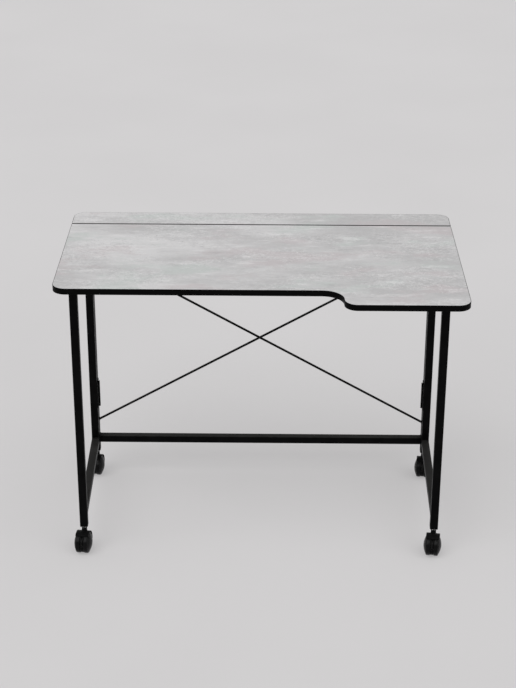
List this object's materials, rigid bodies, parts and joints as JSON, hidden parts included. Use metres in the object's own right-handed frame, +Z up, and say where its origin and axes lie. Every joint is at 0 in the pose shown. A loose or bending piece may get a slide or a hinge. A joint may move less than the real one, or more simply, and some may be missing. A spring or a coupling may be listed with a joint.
{
  "type": "folding laptop table",
  "caption": "Laptop table on castors: a laminate top with a stepped front is hinged to a rear strip on a braced frame, and two side frames fold in under it.",
  "frame": {"origin": "on the floor, below the middle of the top", "axes": "+Z up, +X to the table's right seen from the front, -Y to the front edge"},
  "size_m": [0.97, 0.595, 0.75],
  "materials": {
    "laminate": "matt grey concrete-look laminate",
    "edging": "satin black edge band",
    "frame": "satin black powder coat",
    "hinge": "satin black",
    "black_screw": "black",
    "zinc": "zinc plated",
    "plug": "satin black",
    "castor_hood": "satin black nylon",
    "wheel": "satin black nylon"
  },
  "bodies": {
    "rear_frame": {"rear_post_left": "frame", "rear_post_right": "frame", "rear_top_rail": "frame", "rear_crossbar": "frame", "brace_rod_rising": "frame", "brace_rod_falling": "frame", "rear_strip_board": "laminate", "rear_strip_edging": "edging", "strip_screws": "zinc", "frame_hinge_fixed_leaves": "hinge", "frame_hinge_pins": "zinc", "frame_hinge_fixed_screws": "black_screw", "top_hinge_fixed_leaves": "hinge", "top_hinge_pins": "zinc", "top_hinge_fixed_screws": "zinc", "rear_foot_plugs": "plug", "rear_stem_inserts": "zinc", "rear_castor_stems": "zinc"},
    "main_top": {"main_top_board": "laminate", "main_top_edging": "edging", "top_hinge_moving_leaves": "hinge", "top_hinge_moving_screws": "zinc"},
    "left_side_frame": {"left_side_front_post": "frame", "left_side_rear_post": "frame", "left_side_top_rail": "frame", "left_side_bottom_rail": "frame", "left_side_top_plugs": "plug", "left_side_foot_plug": "plug", "left_side_stem_insert": "zinc", "left_side_castor_stem": "zinc", "left_side_hinge_leaves": "hinge", "left_side_hinge_screws": "black_screw"},
    "right_side_frame": {"right_side_front_post": "frame", "right_side_rear_post": "frame", "right_side_top_rail": "frame", "right_side_bottom_rail": "frame", "right_side_top_plugs": "plug", "right_side_foot_plug": "plug", "right_side_stem_insert": "zinc", "right_side_castor_stem": "zinc", "right_side_hinge_leaves": "hinge", "right_side_hinge_screws": "black_screw"},
    "front_left_castor": {"front_left_castor_hood": "castor_hood", "front_left_castor_axle": "zinc"},
    "front_left_left_wheel": {"front_left_castor_left_wheel": "wheel"},
    "front_left_right_wheel": {"front_left_castor_right_wheel": "wheel"},
    "front_right_castor": {"front_right_castor_hood": "castor_hood", "front_right_castor_axle": "zinc"},
    "front_right_left_wheel": {"front_right_castor_left_wheel": "wheel"},
    "front_right_right_wheel": {"front_right_castor_right_wheel": "wheel"},
    "rear_left_castor": {"rear_left_castor_hood": "castor_hood", "rear_left_castor_axle": "zinc"},
    "rear_left_left_wheel": {"rear_left_castor_left_wheel": "wheel"},
    "rear_left_right_wheel": {"rear_left_castor_right_wheel": "wheel"},
    "rear_right_castor": {"rear_right_castor_hood": "castor_hood", "rear_right_castor_axle": "zinc"},
    "rear_right_left_wheel": {"rear_right_castor_left_wheel": "wheel"},
    "rear_right_right_wheel": {"rear_right_castor_right_wheel": "wheel"}
  },
  "joints": [
    {"name": "left_side_fold", "type": "hinge", "parent": "rear_frame", "child": "left_side_frame", "pos_m": [-0.4377, 0.2515, 0.418], "axis": [0, 0, 1], "range_deg": [0, 88.9]},
    {"name": "right_side_fold", "type": "hinge", "parent": "rear_frame", "child": "right_side_frame", "pos_m": [0.4377, 0.2515, 0.418], "axis": [0, 0, -1], "range_deg": [0, 88.9]},
    {"name": "top_lift", "type": "hinge", "parent": "rear_frame", "child": "main_top", "pos_m": [0, 0.2135, 0.7317], "axis": [-1, 0, 0], "range_deg": [0, 10]},
    {"name": "front_left_castor_swivel", "type": "hinge", "parent": "left_side_frame", "child": "front_left_castor", "pos_m": [-0.44349, -0.13968, 0.061], "axis": [0, 0, 1], "continuous": true},
    {"name": "front_left_left_wheel_roll", "type": "hinge", "parent": "front_left_castor", "child": "front_left_left_wheel", "pos_m": [-0.45596, -0.1553, 0.0275], "axis": [0.9928, -0.1201, 0], "continuous": true},
    {"name": "front_left_right_wheel_roll", "type": "hinge", "parent": "front_left_castor", "child": "front_left_right_wheel", "pos_m": [-0.43511, -0.15782, 0.0275], "axis": [0.9928, -0.1201, 0], "continuous": true},
    {"name": "front_right_castor_swivel", "type": "hinge", "parent": "right_side_frame", "child": "front_right_castor", "pos_m": [0.44349, -0.13968, 0.061], "axis": [0, 0, 1], "continuous": true},
    {"name": "front_right_left_wheel_roll", "type": "hinge", "parent": "front_right_castor", "child": "front_right_left_wheel", "pos_m": [0.43044, -0.15481, 0.0275], "axis": [0.9874, -0.1582, 0], "continuous": true},
    {"name": "front_right_right_wheel_roll", "type": "hinge", "parent": "front_right_castor", "child": "front_right_right_wheel", "pos_m": [0.45117, -0.15813, 0.0275], "axis": [0.9874, -0.1582, 0], "continuous": true},
    {"name": "rear_left_castor_swivel", "type": "hinge", "parent": "rear_frame", "child": "rear_left_castor", "pos_m": [-0.451, 0.2625, 0.061], "axis": [0, 0, 1], "continuous": true},
    {"name": "rear_left_left_wheel_roll", "type": "hinge", "parent": "rear_left_castor", "child": "rear_left_left_wheel", "pos_m": [-0.46376, 0.24713, 0.0275], "axis": [0.9903, -0.1392, 0], "continuous": true},
    {"name": "rear_left_right_wheel_roll", "type": "hinge", "parent": "rear_left_castor", "child": "rear_left_right_wheel", "pos_m": [-0.44297, 0.2442, 0.0275], "axis": [0.9903, -0.1392, 0], "continuous": true},
    {"name": "rear_right_castor_swivel", "type": "hinge", "parent": "rear_frame", "child": "rear_right_castor", "pos_m": [0.451, 0.2625, 0.061], "axis": [0, 0, 1], "continuous": true},
    {"name": "rear_right_left_wheel_roll", "type": "hinge", "parent": "rear_right_castor", "child": "rear_right_left_wheel", "pos_m": [0.43824, 0.24713, 0.0275], "axis": [0.9903, -0.1392, 0], "continuous": true},
    {"name": "rear_right_right_wheel_roll", "type": "hinge", "parent": "rear_right_castor", "child": "rear_right_right_wheel", "pos_m": [0.45903, 0.2442, 0.0275], "axis": [0.9903, -0.1392, 0], "continuous": true}
  ]
}
